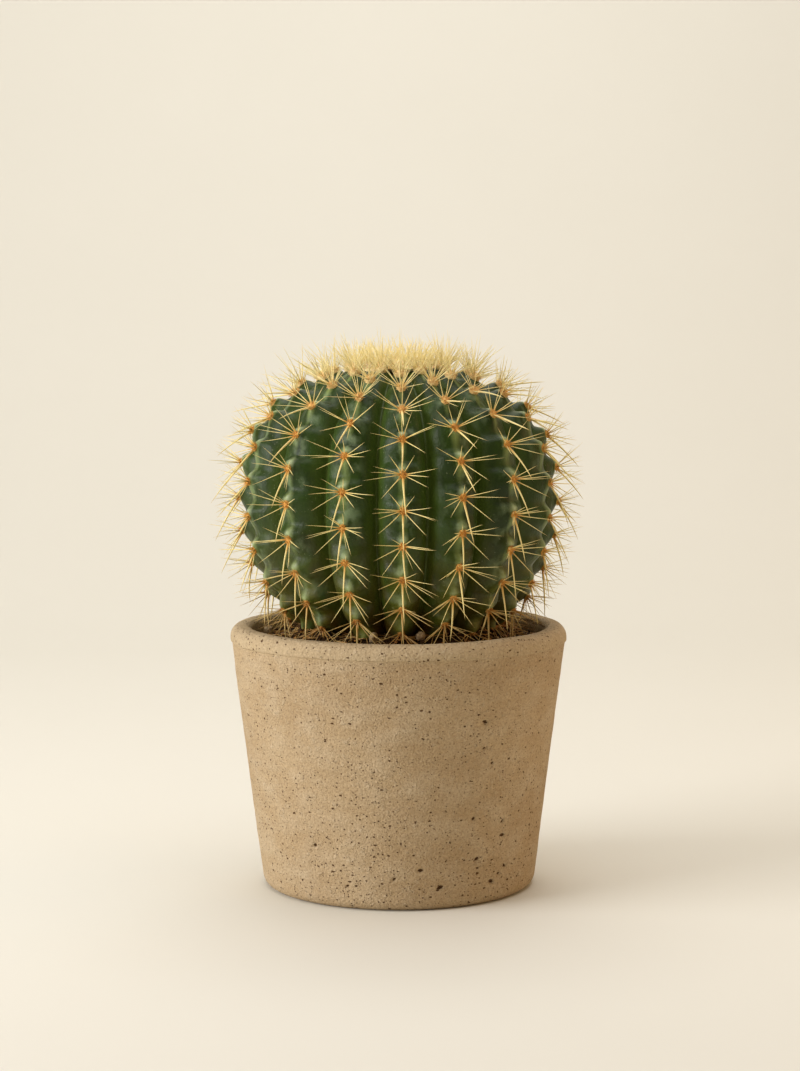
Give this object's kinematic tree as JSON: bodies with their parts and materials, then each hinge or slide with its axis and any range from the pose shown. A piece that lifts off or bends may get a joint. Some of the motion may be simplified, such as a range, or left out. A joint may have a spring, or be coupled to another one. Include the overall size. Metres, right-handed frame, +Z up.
{
  "type": "potted round cactus",
  "caption": "Round ribbed cactus with rows of golden spines and a woolly crown, growing in soil in a tapered cast concrete pot.",
  "frame": {"origin": "centre of the pot's underside, on the surface the pot stands on", "axes": "+Z up along the axis shared by the pot and the cactus; one rib of the cactus faces -Y and +X is to its right"},
  "size_m": [0.1556, 0.1556, 0.2272],
  "materials": {
    "concrete": "matte",
    "soil": "matte",
    "skin": "satin",
    "wool": "matte",
    "spines": "satin",
    "grit": "matte"
  },
  "bodies": {
    "root": {"pot": "concrete", "potting_soil": "soil", "cactus_body": "skin", "crown_tuft": "wool", "spine_row_01": "spines", "spine_row_02": "spines", "spine_row_03": "spines", "spine_row_04": "spines", "spine_row_05": "spines", "spine_row_06": "spines", "spine_row_07": "spines", "spine_row_08": "spines", "spine_row_09": "spines", "spine_row_10": "spines", "spine_row_11": "spines", "spine_row_12": "spines", "spine_row_13": "spines", "spine_row_14": "spines", "spine_row_15": "spines", "spine_row_16": "spines", "grit_stone_1": "grit", "grit_stone_2": "grit", "grit_stone_3": "grit", "grit_stone_4": "grit", "grit_stone_5": "grit", "grit_stone_6": "grit"}
  },
  "joints": []
}
